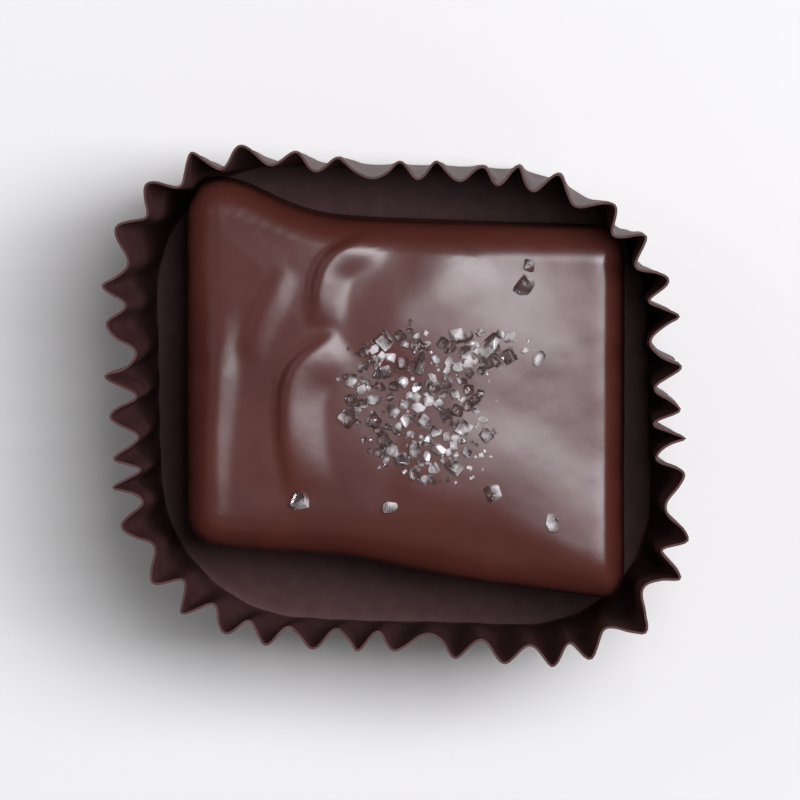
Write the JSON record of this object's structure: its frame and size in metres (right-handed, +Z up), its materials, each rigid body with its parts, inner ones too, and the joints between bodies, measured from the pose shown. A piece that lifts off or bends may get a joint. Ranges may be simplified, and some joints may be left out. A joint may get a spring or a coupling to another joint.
{
  "type": "salted caramel candy",
  "caption": "Square caramel coated in rippled dark chocolate, topped with coarse white salt and sitting in a fluted dark brown paper cup.",
  "frame": {"origin": "on the surface that the paper cup stands on, under the middle of the cup's rim", "axes": "+X to the right and +Y away from a person who looks down on the piece, +Z up"},
  "size_m": [0.0362, 0.0319, 0.019],
  "materials": {
    "dark_chocolate": "satin",
    "brown_paper": "matte"
  },
  "bodies": {
    "root": {"coated_caramel": "dark_chocolate", "paper_cup": "brown_paper"}
  },
  "joints": []
}
